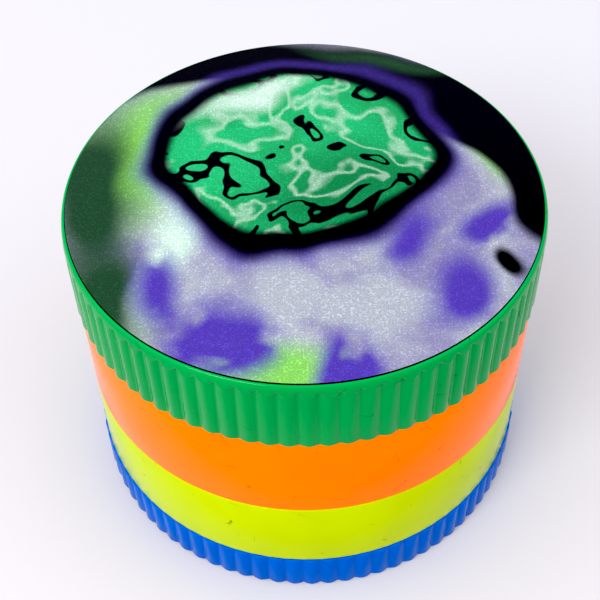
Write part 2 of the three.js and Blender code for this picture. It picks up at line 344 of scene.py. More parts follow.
def cut_thread(bm, sizes, root_radius, outward, seam, bottom, phase):
    """Raises a rounded helical ridge on a wall. outward is 1 on a spigot and -1 in a socket.
    bottom is the ridge's lower end, and phase is the part of a turn that it is set round by."""
    on_wall = 1e-5
    ends_per_turn = 12  # the ridge rises and dies away over a twelfth of a turn
    pitch = sizes.thread_pitch
    crest = sizes.thread_crest / pitch / 2
    flank = (sizes.thread_root - sizes.thread_crest) / pitch / 2
    start = (bottom - seam) / pitch - phase
    for vert in bm.verts:
        radius = math.hypot(vert.co.x, vert.co.y)
        if abs(radius - root_radius) > on_wall:
            continue
        turns = math.atan2(vert.co.y, vert.co.x) / math.tau
        height = (vert.co.z - seam) / pitch - phase
        wrap = round(height - turns)
        away = abs(height - turns - wrap)
        along = turns + wrap - start
        from_end = sizes.thread_turns - along
        ends = ease(along * ends_per_turn) * ease(from_end * ends_per_turn)
        rise = sizes.thread_depth * ends * (1 - ease((away - crest) / flank))
        vert.co.x *= (radius + outward * rise) / radius
        vert.co.y *= (radius + outward * rise) / radius


def shaded(bm):
    """Smooth faces, with a hard edge where two faces meet at a clear angle."""
    for face in bm.faces:
        face.smooth = True
    for edge in bm.edges:
        edge.smooth = edge.calc_face_angle(math.pi) < SHARP_ANGLE
    return bm


def as_object(bm, name):
    mesh = bpy.data.meshes.new(name)
    bm.to_mesh(mesh)
    bm.free()
    piece = bpy.data.objects.new(name, mesh)
    bpy.context.scene.collection.objects.link(piece)
    return piece


def joined(bm, tool, operation):
    """The body and a tool, joined or cut with a Boolean modifier."""
    body = as_object(bm, "body_in_work")
    other = as_object(tool, "tool_in_work")
    modifier = body.modifiers.new("boolean", "BOOLEAN")
    modifier.operation = operation
    modifier.solver = "MANIFOLD"
    modifier.object = other
    depsgraph = bpy.context.evaluated_depsgraph_get()
    result = bmesh.new()
    result.from_object(body, depsgraph)
    for obj in (body, other):
        mesh = obj.data
        bpy.data.objects.remove(obj)
        bpy.data.meshes.remove(mesh)
    return result


def finished(bm, name, body, node, material):
    """Makes the piece with its finish, puts it on its body, and hides the CAD node that it stands
    for."""
    piece = as_object(shaded(bm), name)
    piece.data.materials.append(material)
    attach(piece, body)
    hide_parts(node)
    return piece


def tooth_rings(sizes):
    """Radii of the tooth rings, from the wall inwards. They take turns: floor, lid, floor, lid."""
    chamber_radius = SOCKET_RADIUS - sizes.collar_play - sizes.collar_wall
    boss_radius = POCKET_RADIUS + sizes.magnet_wall
    radius = chamber_radius - sizes.tooth_wall_gap - sizes.tooth_width / 2
    rings = []
    while radius - sizes.tooth_width / 2 > boss_radius + sizes.tooth_ring_gap / 2:
        rings.append(radius)
        radius -= sizes.tooth_width + sizes.tooth_ring_gap
    return rings[0::2], rings[1::2]


def teeth(sizes, rings, root, tip):
    """Diamond teeth with softened edges, from the height of their root to that of their tip."""
    softening = 0.2 * MM
    bm = bmesh.new()
    for radius in rings:
        count = round(math.tau * radius / sizes.tooth_spacing)
        for i in range(count):
            place = (
                Matrix.Rotation(math.tau * (i + 0.5) / count, 4, "Z")
                @ Matrix.Translation((radius, 0, (root + tip) / 2))
                @ Matrix.Diagonal((sizes.tooth_width / 2, sizes.tooth_length / 2, 1, 1))
            )
            made = bmesh.ops.create_cone(
                bm,
                cap_ends=True,
                segments=4,
                radius1=1,
                radius2=1,
                depth=abs(tip - root),
                matrix=place,
            )
            sides = {edge for vert in made["verts"] for edge in vert.link_edges}
            at_tip = [e for e in sides if all(abs(v.co.z - tip) < SAME_PLACE for v in e.verts)]
            upright = [e for e in sides if abs(e.verts[0].co.z - e.verts[1].co.z) > SAME_PLACE]
            bmesh.ops.bevel(
                bm,
                geom=at_tip + upright,
                offset=softening,
                offset_type="OFFSET",
                affect="EDGES",
                segments=2,
                profile=0.5,
                material=-1,
            )
    bmesh.ops.recalc_face_normals(bm, faces=bm.faces[:])
    return bm


def drop_holes(sizes, rings, low, high):
    """Cutters for the drop holes, flared at both faces of the floor and reaching a little over."""
    bm = bmesh.new()
    radius = sizes.drop_hole / 2
    flare = 0.3 * MM
    over = 0.2 * MM
    edge = 0.2 * MM
    for ring in rings:
        count = round(math.tau * ring / sizes.drop_hole_spacing)
        for i in range(count):
            cutter = wire_section(
                [
                    (0, low - over, 0),
                    (radius + flare + over, low - over, 0),
                    (radius, low + flare, edge),
                    (radius, high - flare, edge),
                    (radius + flare + over, high + over, 0),
                    (0, high + over, 0),
                ],
                closed=False,
            )
            turn(cutter, BORE_STEPS)
            about = Matrix.Rotation(math.tau * i / count, 4, "Z")
            add_mesh(bm, cutter, about @ Matrix.Translation((ring, 0, 0)))
    return bm


def crimped_wire(sizes, half_length, lift):
    """A wire along the X axis that passes over and under the wires that cross it."""
    bm = bmesh.new()
    bmesh.ops.create_cone(
        bm,
        cap_ends=True,
        segments=WIRE_SIDES,
        radius1=sizes.wire / 2,
        radius2=sizes.wire / 2,
        depth=2 * half_length,
        matrix=Matrix.Rotation(math.radians(90), 4, "Y"),
    )
    lengthwise = [e for e in bm.edges if abs(e.verts[0].co.x - e.verts[1].co.x) > sizes.wire]
    cuts = 2 * math.ceil(2 * half_length / sizes.wire_pitch) - 1
    bmesh.ops.subdivide_edges(bm, edges=lengthwise, cuts=cuts, use_grid_fill=True)
    for vert in bm.verts:
        vert.co.z += lift * math.cos(math.pi * vert.co.x / sizes.wire_pitch) * sizes.wire / 2
    return bm


# --- Finishes ---

# Settings for add_node, and the numbers of the inputs that go with them
BLEND = {"kind": "ShaderNodeMix", "data_type": "RGBA", "output": 2}
MASK, UNDER, OVER = 0, 6, 7
FADE = {"kind": "ShaderNodeMapRange", "interpolation_type": "SMOOTHSTEP"}
VALUE, LOW, HIGH, AT_LOW, AT_HIGH = range(5)
TIMES = {"kind": "ShaderNodeMath", "operation": "MULTIPLY"}
NOISE = {"kind": "ShaderNodeTexNoise"}
BUMP = {"kind": "ShaderNodeBump"}


def fill(tree, node, inputs):
    """Gives a node's inputs their values, or links them from the sockets given."""
    for socket, value in inputs.items():
        if isinstance(value, bpy.types.NodeSocket):
            tree.links.new(value, node.inputs[socket])
        else:
            node.inputs[socket].default_value = value


def add_node(tree, inputs, kind, output=0, **settings):
    """Adds a node with its settings and links. Gives one of its outputs, or the node itself when
    output is None."""
    node = tree.nodes.new(kind)
    for name, value in settings.items():
        setattr(node, name, value)
    fill(tree, node, inputs)
    return node if output is None else node.outputs[output]


def new_material(name):
    """A material with an untouched shader, and the object's coordinates for its patterns."""
    material = bpy.data.materials.new(name)
    material.use_nodes = True
    tree = material.node_tree
    tree.nodes.clear()
    shader = add_node(tree, {}, kind="ShaderNodeBsdfPrincipled", output=None)
    surface = {"Surface": shader.outputs[0]}
    add_node(tree, surface, kind="ShaderNodeOutputMaterial", output=None)
    place = add_node(tree, {}, kind="ShaderNodeTexCoord", output="Object")
    return material, tree, shader, place


def dimmed(paint, parts):
    """A colour with each channel brought down to its part."""
    return (*(channel * part for channel, part in zip(paint, parts)), 1.0)


def contour(tree, value, level, width):
    """A line where a value passes a level: 1 on it, 0 from its width on."""
    offset = add_node(tree, {0: value, 1: level}, kind="ShaderNodeMath", operation="SUBTRACT")
    size = add_node(tree, {0: offset}, kind="ShaderNodeMath", operation="ABSOLUTE")
    return add_node(tree, {VALUE: size, LOW: 0.0, HIGH: width, AT_LOW: 1.0, AT_HIGH: 0.0}, **FADE)


def spot(tree, place, x, y, across, along, turned, soft):
    """A soft-edged oval of spray, 1 inside and 0 outside. Sizes are in millimetres, turned is in
    degrees, and soft is the part of the oval's size that the edge takes."""
    oval = {
        "Vector": place,
        "Location": (x * MM, y * MM, 0),
        "Rotation": (0, 0, math.radians(turned)),
        "Scale": (across * MM, along * MM, 1),
    }
    unit = add_node(tree, oval, kind="ShaderNodeMapping", vector_type="TEXTURE")
    away = add_node(
        tree, {0: unit}, kind="ShaderNodeVectorMath", operation="LENGTH", output="Value"
    )
    edge = {VALUE: away, LOW: 1 - soft, HIGH: 1 + soft, AT_LOW: 1.0, AT_HIGH: 0.0}
    return add_node(tree, edge, **FADE)


def enamel(name, paint, shift, index=1.17):
    """Stoved enamel on a zinc casting, a thick coat that levels itself as it bakes. It gives the
    eye a deep, even colour under a broad gloss. Enamel's index is about 1.5; a lower one keeps
    the pale room from washing the colour out. shift moves the patterns, so that no two castings
    share them."""
    paint = tuple(paint)
    material, tree, shader, place = new_material(name)
    moved = add_node(
        tree,
        {"Vector": place, "Location": (shift, shift / 3, shift / 7)},
        kind="ShaderNodeMapping",
    )

    # The coat is a little thicker and darker in places, about 9 mm apart
    cloud = add_node(tree, {"Vector": moved, "Scale": 1 / (9 * MM), "Detail": 2.0}, **NOISE)
    thick = add_node(tree, {VALUE: cloud, LOW: 0.35, HIGH: 0.7}, **FADE)
    base = add_node(tree, {MASK: thick, UNDER: paint, OVER: dimmed(paint, (0.94,) * 3)}, **BLEND)

    # Dust under the coat, in one cell of five, with cells of 2.2 mm. Real specks are about
    # 0.1 mm across; these are 0.3 mm, so that they show.
    cells = add_node(
        tree,
        {"Vector": moved, "Scale": 1 / (2.2 * MM), "Randomness": 1.0},
        kind="ShaderNodeTexVoronoi",
        output=None,
    )
    inside = {LOW: 0.04, HIGH: 0.08, AT_LOW: 1.0, AT_HIGH: 0.0}
    near = add_node(tree, {VALUE: cells.outputs["Distance"], **inside}, **FADE)
    pick = add_node(tree, {0: cells.outputs["Color"]}, kind="ShaderNodeSeparateColor")
    chosen = add_node(tree, {VALUE: pick, LOW: 0.80, HIGH: 0.82}, **FADE)
    speck = add_node(tree, {0: near, 1: chosen}, **TIMES)
    dust = dimmed(paint, (0.35,) * 3)
    base = add_node(tree, {MASK: speck, UNDER: base, OVER: dust}, **BLEND)

    # Hair scratches, curved, a few millimetres long. Real ones are about 0.02 mm wide; these are
    # 0.1 mm, so that they show.
    path = add_node(tree, {"Vector": moved, "Scale": 1 / (4 * MM), "Detail": 0.0}, **NOISE)
    patch = add_node(tree, {"Vector": moved, "Scale": 1 / (2.6 * MM), "Detail": 0.0}, **NOISE)
    worn = add_node(tree, {VALUE: patch, LOW: 0.68, HIGH: 0.70}, **FADE)
    scratch = add_node(tree, {0: contour(tree, path, 0.5, 0.008), 1: worn}, **TIMES)
    base = add_node(tree, {MASK: scratch, UNDER: base, OVER: dust}, **BLEND)

    # Orange peel, 1.1 mm from crest to crest, with the specks standing up in it
    peel = add_node(tree, {"Vector": moved, "Scale": 1 / (1.1 * MM), "Detail": 1.0}, **NOISE)
    height = add_node(
        tree, {0: speck, 1: 0.6, 2: peel}, kind="ShaderNodeMath", operation="MULTIPLY_ADD"
    )
    bump = add_node(tree, {"Height": height, "Strength": 0.35, "Distance": 0.012 * MM}, **BUMP)
    gloss = {LOW: 0.3, HIGH: 0.75, AT_LOW: 0.13, AT_HIGH: 0.21}
    rough = add_node(tree, {VALUE: cloud, **gloss}, **FADE)
    fill(tree, shader, {"Base Color": base, "Roughness": rough, "Normal": bump, "IOR": index})
    return material


def printed_film(colours, cut):
    """Printed polyester film with a matt, finely embossed face. It gives the eye clear colours
    without gloss, in an abstract airbrushed pattern: clouds of green and violet spray, black
    sweeps and a marbled green cloud. cut is the radius of the disc."""
    material, tree, shader, place = new_material("printed_polyester_film")
    flat = add_node(
        tree, {0: place, 1: (1, 1, 0)}, kind="ShaderNodeVectorMath", operation="MULTIPLY"
    )

    # The sprayed shapes wander by up to 7 mm either way, over about 20 mm
    drift = add_node(
        tree, {"Vector": flat, "Scale": 1 / (20 * MM), "Detail": 1.5}, output="Color", **NOISE
    )
    centred = add_node(
        tree, {0: drift, 1: (0.5, 0.5, 0.5)}, kind="ShaderNodeVectorMath", operation="SUBTRACT"
    )
    bent = add_node(
        tree,
        {0: centred, 1: (14 * MM, 14 * MM, 0), 2: flat},
        kind="ShaderNodeVectorMath",
        operation="MULTIPLY_ADD",
    )

    inks = "grey", "lavender", "violet", "green", "deep_green", "glow", "black", "mint"
    grey, lavender, violet, green, deep, glow, black, mint = (
        tuple(getattr(colours, "print_" + ink)) for ink in inks
    )

    # The ground: two greys in clouds about 12 mm apart
    cloud = add_node(tree, {"Vector": bent, "Scale": 1 / (12 * MM), "Detail": 3.0}, **NOISE)
    swirl = add_node(tree, {"Vector": bent, "Scale": 1 / (8 * MM), "Detail": 2.0}, **NOISE)
    mist = add_node(tree, {VALUE: swirl, LOW: 0.30, HIGH: 0.50}, **FADE)
    ground = add_node(tree, {VALUE: cloud, LOW: 0.42, HIGH: 0.60}, **FADE)
    sheet = add_node(tree, {MASK: ground, UNDER: grey, OVER: lavender}, **BLEND)

    # Spray, laid down in this order: colour, place, size across and along, turn and softness
    for paint, *oval in (
        (glow, -21, 8, 8, 12, -25, 0.6),
        (deep, -28, 1, 6, 15, -6, 0.5),
        (deep, -25, -16, 6, 8, 25, 0.6),
        (mint, -16, -2, 2.6, 14, -12, 0.8),
        (glow, -5, -28, 7, 4, 0, 0.6),
        (glow, 26, 8, 3, 6, 20, 0.7),
        (violet, -11, -23, 5.5, 6, 30, 0.45),
        (violet, 4, -28, 4, 5, 0, 0.4),
        (violet, -18, -15, 2.5, 6, 25, 0.8),
        (violet, 25, -6, 6, 3, 25, 0.5),
        (violet, 19, -17, 4, 6, -30, 0.5),
        (violet, 14, -9, 2, 5, -30, 0.8),
    ):
        mask = spot(tree, bent, *oval)
        if paint == violet:
            mask = add_node(tree, {0: mask, 1: mist}, **TIMES)
        sheet = add_node(tree, {MASK: mask, UNDER: sheet, OVER: paint}, **BLEND)

    # A broad black sweep over the far side: the part of a ring that crosses the disc
    sweep = add_node(
        tree,
        {0: bent, 1: (-8 * MM, -18 * MM, 0)},
        kind="ShaderNodeVectorMath",
        operation="DISTANCE",
        output="Value",
    )
    inner = add_node(tree, {VALUE: sweep, LOW: 39 * MM, HIGH: 41 * MM}, **FADE)
    outer = add_node(
        tree, {VALUE: sweep, LOW: 49 * MM, HIGH: 53 * MM, AT_LOW: 1.0, AT_HIGH: 0.0}, **FADE
    )
    band = add_node(tree, {0: inner, 1: outer}, **TIMES)

    # The marbled cloud: green in two depths, pale and black veins, and a mint sheen at its top
    depth = add_node(tree, {VALUE: cloud, LOW: 0.35, HIGH: 0.62}, **FADE)
    body = add_node(tree, {MASK: depth, UNDER: green, OVER: linear("#1a8450")}, **BLEND)
    pale_vein = add_node(tree, {0: contour(tree, swirl, 0.44, 0.04), 1: 0.45}, **TIMES)
    black_vein = add_node(
        tree, {VALUE: contour(tree, swirl, 0.58, 0.05), LOW: 0.35, HIGH: 0.6}, **FADE
    )
    for mask, paint in (
        (spot(tree, bent, 6, 0, 13, 8, 20, 0.8), linear("#0f5a32")),
        (pale_vein, mint),
        (black_vein, black),
        (spot(tree, bent, -7, 18, 7, 1.5, 28, 0.8), mint),
    ):
        body = add_node(tree, {MASK: mask, UNDER: body, OVER: paint}, **BLEND)

    # A thin black ring just inside the disc's cut edge: painted shadow where the disc meets the
    # rim
    rim = add_node(
        tree, {0: flat}, kind="ShaderNodeVectorMath", operation="LENGTH", output="Value"
    )
    edge_shadow = add_node(tree, {VALUE: rim, LOW: cut - 0.08 * MM, HIGH: cut - 0.04 * MM}, **FADE)

    # The sweep with a deep green streak and a black dash, then the cloud with its violet light
    #     # and black halo, then the painted shadow at the edge
    for mask, paint in (
        (band, black),
        (spot(tree, bent, 12, 26, 9, 1.2, -22, 0.9), deep),
        (spot(tree, bent, 27, -12, 1.5, 2.2, 35, 0.4), black),
        (spot(tree, bent, 0, 7, 20, 19, 20, 0.12), violet),
        (spot(tree, bent, 0, 7, 19.3, 18.4, 20, 0.07), black),
        (spot(tree, bent, 0, 7.5, 15.8, 14.8, 20, 0.05), body),
        # painted shadow round the disc's edge
        (edge_shadow, black),
    ):
        sheet = add_node(tree, {MASK: mask, UNDER: sheet, OVER: paint}, **BLEND)

    # Curled embossing, in waves of 0.45 mm
    curls = add_node(tree, {"Vector": flat, "Scale": 1 / (0.45 * MM), "Detail": 1.0}, **NOISE)
    curl = contour(tree, curls, 0.5, 0.05)
    shade = add_node(
        tree, {VALUE: curl, LOW: 0.0, HIGH: 1.0, AT_LOW: 0.9, AT_HIGH: 1.36}, **FADE
    )
    grained = add_node(
        tree, {0: sheet, "Scale": shade}, kind="ShaderNodeVectorMath", operation="SCALE"
    )
    bump = add_node(tree, {"Height": curl, "Strength": 0.3, "Distance": 0.015 * MM}, **BUMP)
    fill(tree, shader, {"Base Color": grained, "Roughness": 0.6, "Normal": bump, "IOR": 1.25})
    return material


def worked_metal(name, metal, grain, rough, depth):
    """Bare or plated steel, drawn, rolled or plated. It gives the eye bright and dull reflections
    side by side: grain is the distance between them, rough the polish of the brightest and depth
    the height of the relief."""
    metal = tuple(metal)
    material, tree, shader, place = new_material(name)
    mottle = add_node(tree, {"Vector": place, "Scale": 1 / grain, "Detail": 3.0}, **NOISE)
    dull = add_node(tree, {VALUE: mottle, LOW: 0.35, HIGH: 0.7}, **FADE)
    base = add_node(tree, {MASK: dull, UNDER: metal, OVER: dimmed(metal, (0.8,) * 3)}, **BLEND)
    polish = {LOW: 0.3, HIGH: 0.7, AT_LOW: rough, AT_HIGH: rough + 0.12}
    spread = add_node(tree, {VALUE: mottle, **polish}, **FADE)
    bump = add_node(tree, {"Height": mottle, "Strength": 0.3, "Distance": depth}, **BUMP)
    fill(tree, shader, {"Base Color": base, "Roughness": spread, "Normal": bump, "Metallic": 1.0})
    return material


def moulded_nylon(paint):
    """Natural nylon, moulded. It gives the eye a warm white that is waxy and slightly translucent,
    with the mould's fine grain in its face."""
    paint = tuple(paint)
    material, tree, shader, place = new_material("moulded_nylon")
    grain = add_node(tree, {"Vector": place, "Scale": 1 / (0.4 * MM), "Detail": 2.0}, **NOISE)
    hollow = add_node(tree, {VALUE: grain, LOW: 0.4, HIGH: 0.7}, **FADE)
    warm = dimmed(paint, (0.95, 0.93, 0.88))
    base = add_node(tree, {MASK: hollow, UNDER: paint, OVER: warm}, **BLEND)
    bump = add_node(tree, {"Height": grain, "Strength": 0.3, "Distance": 0.01 * MM}, **BUMP)
    waxy = {"Roughness": 0.42, "Subsurface Weight": 0.15, "Subsurface Scale": 0.5 * MM}
    fill(tree, shader, {"Base Color": base, "Normal": bump, **waxy})
    return material


def matt_card(paint):
    """Matt white card. It gives the eye an even ground that takes a soft shadow."""
    material, tree, shader, _ = new_material("matt_white_card")
    dry = {"Roughness": 0.8, "Specular IOR Level": 0.2}
    fill(tree, shader, {"Base Color": tuple(paint), **dry})
    return material


# --- Operators, one for each piece or pair of like pieces, and one for the stage ---


class GRINDER_OT_tray(bpy.types.Operator):
    """Cast tray with a ribbed wall and a threaded socket"""

    bl_idname = "grinder.tray"
    bl_label = "Tray"

    def execute(self, context):
        sizes = context.scene.grinder_sizes
        top = TRAY_SEAM
        edge = sizes.seam_edge
        foot_band = 1.5 * MM
        bm = wire_section(
            [
                (0, 0, 0),
                (OUTER_RADIUS - foot_band, 0, 0),
                (OUTER_RADIUS, 0, sizes.foot_edge),
                (OUTER_RADIUS, top, edge),
                (SOCKET_RADIUS, top, edge),
                (SOCKET_RADIUS, sizes.tray_floor, TRAY_CORNER),
                (0, sizes.tray_floor, 0),
            ],
            closed=False,
        )
        add_rows(bm, SOCKET_RADIUS, top - SPIGOT_LENGTH, top - edge, THREAD_ROW)
        turn(bm, sizes.rib_count * RIB_STEPS)
        press_ribs(bm, sizes)
        bottom = top - sizes.thread_lead - sizes.thread_turns * sizes.thread_pitch
        cut_thread(bm, sizes, SOCKET_RADIUS, -1, top, bottom, 0.5)
        paint = enamel("blue_stoved_enamel", context.scene.grinder_colours.blue, 0.31)
        finished(bm, "tray_casting", "tray", "base_tray", paint)
        return {"FINISHED"}


class GRINDER_OT_sieve_chamber(bpy.types.Operator):
    """Cast chamber with a threaded socket, a threaded spigot and a ledge for the screen"""

    bl_idname = "grinder.sieve_chamber"
    bl_label = "Sieve chamber"

    def execute(self, context):
        sizes = context.scene.grinder_sizes
        spigot_radius = SPIGOT_INNER_RADIUS + sizes.spigot_wall
        spigot_end = TRAY_SEAM - SPIGOT_LENGTH
        shoulder = TRAY_SEAM + sizes.seam_line
        socket_floor = SIEVE_SEAM - SPIGOT_LENGTH - sizes.socket_relief
        ledge_radius = SPIGOT_INNER_RADIUS - sizes.ledge_width
        ledge_bottom = LEDGE_TOP - sizes.ledge_thickness
        edge = sizes.seam_edge
        bm = wire_section(
            [
                (SPIGOT_INNER_RADIUS, spigot_end, INNER_LIP),
                (spigot_radius, spigot_end, OUTER_LIP),
                (spigot_radius, shoulder, POCKET_MOUTH),
                (RING_RADIUS, shoulder, edge),
                (RING_RADIUS, SIEVE_SEAM, edge),
                (SOCKET_RADIUS, SIEVE_SEAM, edge),
                (SOCKET_RADIUS, socket_floor, SOCKET_CORNER),
                (SPIGOT_INNER_RADIUS, socket_floor, SOCKET_CORNER),
                (SPIGOT_INNER_RADIUS, LEDGE_TOP, 0),
                (ledge_radius, LEDGE_TOP, LEDGE_EDGE),
                (ledge_radius, ledge_bottom, LEDGE_EDGE),
                (SPIGOT_INNER_RADIUS, ledge_bottom, LEDGE_EDGE),
            ]
        )
        add_rows(bm, spigot_radius, spigot_end, shoulder, THREAD_ROW)
        add_rows(bm, SOCKET_RADIUS, socket_floor, SIEVE_SEAM - edge, THREAD_ROW)
        turn(bm, PLAIN_STEPS)
        start = spigot_end + sizes.thread_lead
        cut_thread(bm, sizes, spigot_radius, 1, TRAY_SEAM, start, 0.0)
        bottom = SIEVE_SEAM - sizes.thread_lead - sizes.thread_turns * sizes.thread_pitch
        cut_thread(bm, sizes, SOCKET_RADIUS, -1, SIEVE_SEAM, bottom, 0.5)
        paint = enamel("lime_stoved_enamel", context.scene.grinder_colours.lime, 0.17)
        finished(bm, "sieve_chamber_casting", "sieve", "sieve_chamber", paint)
        return {"FINISHED"}


class GRINDER_OT_screen(bpy.types.Operator):
    """Woven wire screen in a pressed rim, and the sprung ring that holds it down"""

    bl_idname = "grinder.screen"
    bl_label = "Screen and ring"

    def execute(self, context):
        sizes = context.scene.grinder_sizes
        colours = context.scene.grinder_colours
        low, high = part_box("sieve_screen")
        radius = high.x
        middle = (low.z + high.z) / 2
        rim_inner = radius - 0.7 * MM
        inner_edge = 0.08 * MM
        outer_edge = 0.12 * MM
        bm = turn(
            wire_section(
                [
                    (rim_inner, low.z, inner_edge),
                    (radius, low.z, outer_edge),
                    (radius, high.z, outer_edge),
                    (rim_inner, high.z, inner_edge),
                ]
            ),
            PLAIN_STEPS,
        )
        # The wires end inside the rim. Real ones are about 0.1 mm thick and 0.3 mm apart; these
        # are coarser, so that the weave shows and the mesh stays light.
        reach = radius - 0.45 * MM
        half = int(reach / sizes.wire_pitch)
        for angle, side in ((0, 1), (90, -1)):
            turned = Matrix.Rotation(math.radians(angle), 4, "Z")
            for i in range(-half, half + 1):
                offset = i * sizes.wire_pitch
                wire = crimped_wire(sizes, math.sqrt(reach**2 - offset**2), side * (-1) ** i)
                add_mesh(bm, wire, turned @ Matrix.Translation((0, offset, middle)))
        bmesh.ops.recalc_face_normals(bm, faces=bm.faces[:])
        wire = worked_metal(
            "woven_stainless_wire", colours.steel, grain=0.6 * MM, rough=0.3, depth=0.004 * MM
        )
        finished(bm, "woven_screen", "screen", "sieve_screen", wire)

        low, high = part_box("screen_retainer")
        inner = high.x - sizes.retainer_width
        under_edge = 0.2 * MM
        upper_edge = 0.35 * MM
        ring = turn(
            wire_section(
                [
                    (inner, low.z, under_edge),
                    (high.x, low.z, under_edge),
                    (high.x, high.z, upper_edge),
                    (inner, high.z, upper_edge),
                ]
            ),
            PLAIN_STEPS,
        )
        spring = worked_metal(
            "rolled_spring_steel", colours.steel, grain=0.9 * MM, rough=0.26, depth=0.006 * MM
        )
        finished(ring, "retainer_ring", "screen", "screen_retainer", spring)
        return {"FINISHED"}


class GRINDER_OT_grinding_chamber(bpy.types.Operator):
    """Cast chamber with a collar, teeth, drop holes, a magnet post and a threaded spigot"""

    bl_idname = "grinder.grinding_chamber"
    bl_label = "Grinding chamber"

    def execute(self, context):
        sizes = context.scene.grinder_sizes
        spigot_radius = SPIGOT_INNER_RADIUS + sizes.spigot_wall
        spigot_end = SIEVE_SEAM - SPIGOT_LENGTH
        shoulder = SIEVE_SEAM + sizes.seam_line
        lid_seam = LID_TOP - sizes.lid_height
        collar_radius = SOCKET_RADIUS - sizes.collar_play
        chamber_radius = collar_radius - sizes.collar_wall
        post_radius = POCKET_RADIUS + sizes.magnet_wall
        floor_low = SIEVE_SEAM + sizes.grinder_floor_rise
        floor_top = floor_low + sizes.grinder_floor
        edge = sizes.seam_edge
        shoulder_growth = 1.4  # the paint is rounder where the lid's skirt comes down
        bm = wire_section(
            [
                (0, floor_low, 0),
                (SPIGOT_INNER_RADIUS, floor_low, FLOOR_CORNER),
                (SPIGOT_INNER_RADIUS, spigot_end, INNER_LIP),
                (spigot_radius, spigot_end, OUTER_LIP),
                (spigot_radius, shoulder, POCKET_MOUTH),
                (RING_RADIUS, shoulder, edge),
                (RING_RADIUS, lid_seam, edge * shoulder_growth),
                (collar_radius, lid_seam, LEDGE_EDGE),
                (collar_radius, COLLAR_TOP, OUTER_LIP),
                (chamber_radius, COLLAR_TOP, OUTER_LIP),
                (chamber_radius, floor_top, CHAMBER_CORNER),
                (post_radius, floor_top, POST_FOOT),
                (post_radius, POST_TOP, POST_HEAD),
                (POCKET_RADIUS, POST_TOP, POCKET_MOUTH),
                (POCKET_RADIUS, POST_POCKET, 0),
                (0, POST_POCKET, 0),
            ],
            closed=False,
        )
        add_rows(bm, spigot_radius, spigot_end, shoulder, THREAD_ROW)
        turn(bm, PLAIN_STEPS)
        start = spigot_end + sizes.thread_lead
        cut_thread(bm, sizes, spigot_radius, 1, SIEVE_SEAM, start, 0.0)
        floor_rings, lid_rings = tooth_rings(sizes)
        tip = LID_UNDERSIDE - sizes.floor_tooth_gap
        bm = joined(bm, teeth(sizes, floor_rings, floor_top - REST_GAP, tip), "UNION")
        bm = joined(bm, drop_holes(sizes, lid_rings, floor_low, floor_top), "DIFFERENCE")
        paint = enamel("orange_stoved_enamel", context.scene.grinder_colours.orange, 0.23)
        name = "grinding_chamber_casting"
        finished(bm, name, "chamber", "grinding_chamber", paint)
        return {"FINISHED"}


class GRINDER_OT_magnets(bpy.types.Operator):
    """Nickel-plated disc magnets in the chamber's post and the lid's boss"""

    bl_idname = "grinder.magnets"
    bl_label = "Magnets"

    def execute(self, context):
        plating = context.scene.grinder_colours.nickel
        nickel = worked_metal(
            "bright_nickel_plate", plating, grain=1.2 * MM, rough=0.12, depth=0.002 * MM
        )
        for node, body in (("chamber_magnet", "post_magnet"), ("lid_magnet", "lid")):
            low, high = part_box(node)
            bm = turn(
                wire_section(
                    [
                        (0, low.z, 0),
                        (high.y, low.z, INNER_LIP),
                        (high.y, high.z, INNER_LIP),
                        (0, high.z, 0),
                    ],
                    closed=False,
                ),
                MAGNET_STEPS,
            )
            name = node.replace("magnet", "disc_magnet")
            finished(bm, name, body, node, nickel)
        return {"FINISHED"}


class GRINDER_OT_friction_ring(bpy.types.Operator):
    """Moulded nylon ring that the lid turns on"""

    bl_idname = "grinder.friction_ring"
    bl_label = "Friction ring"

    def execute(self, context):
        sizes = context.scene.grinder_sizes
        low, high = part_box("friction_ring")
        inner = SOCKET_RADIUS - sizes.collar_play - sizes.collar_wall
        bm = turn(
            wire_section(
                [
                    (inner, low.z, INNER_LIP),
                    (high.x, low.z, INNER_LIP),
                    (high.x, high.z, INNER_LIP),
                    (inner, high.z, INNER_LIP),
                ]
            ),
            PLAIN_STEPS,
        )
        nylon = moulded_nylon(context.scene.grinder_colours.nylon)
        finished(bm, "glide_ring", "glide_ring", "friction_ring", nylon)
        return {"FINISHED"}


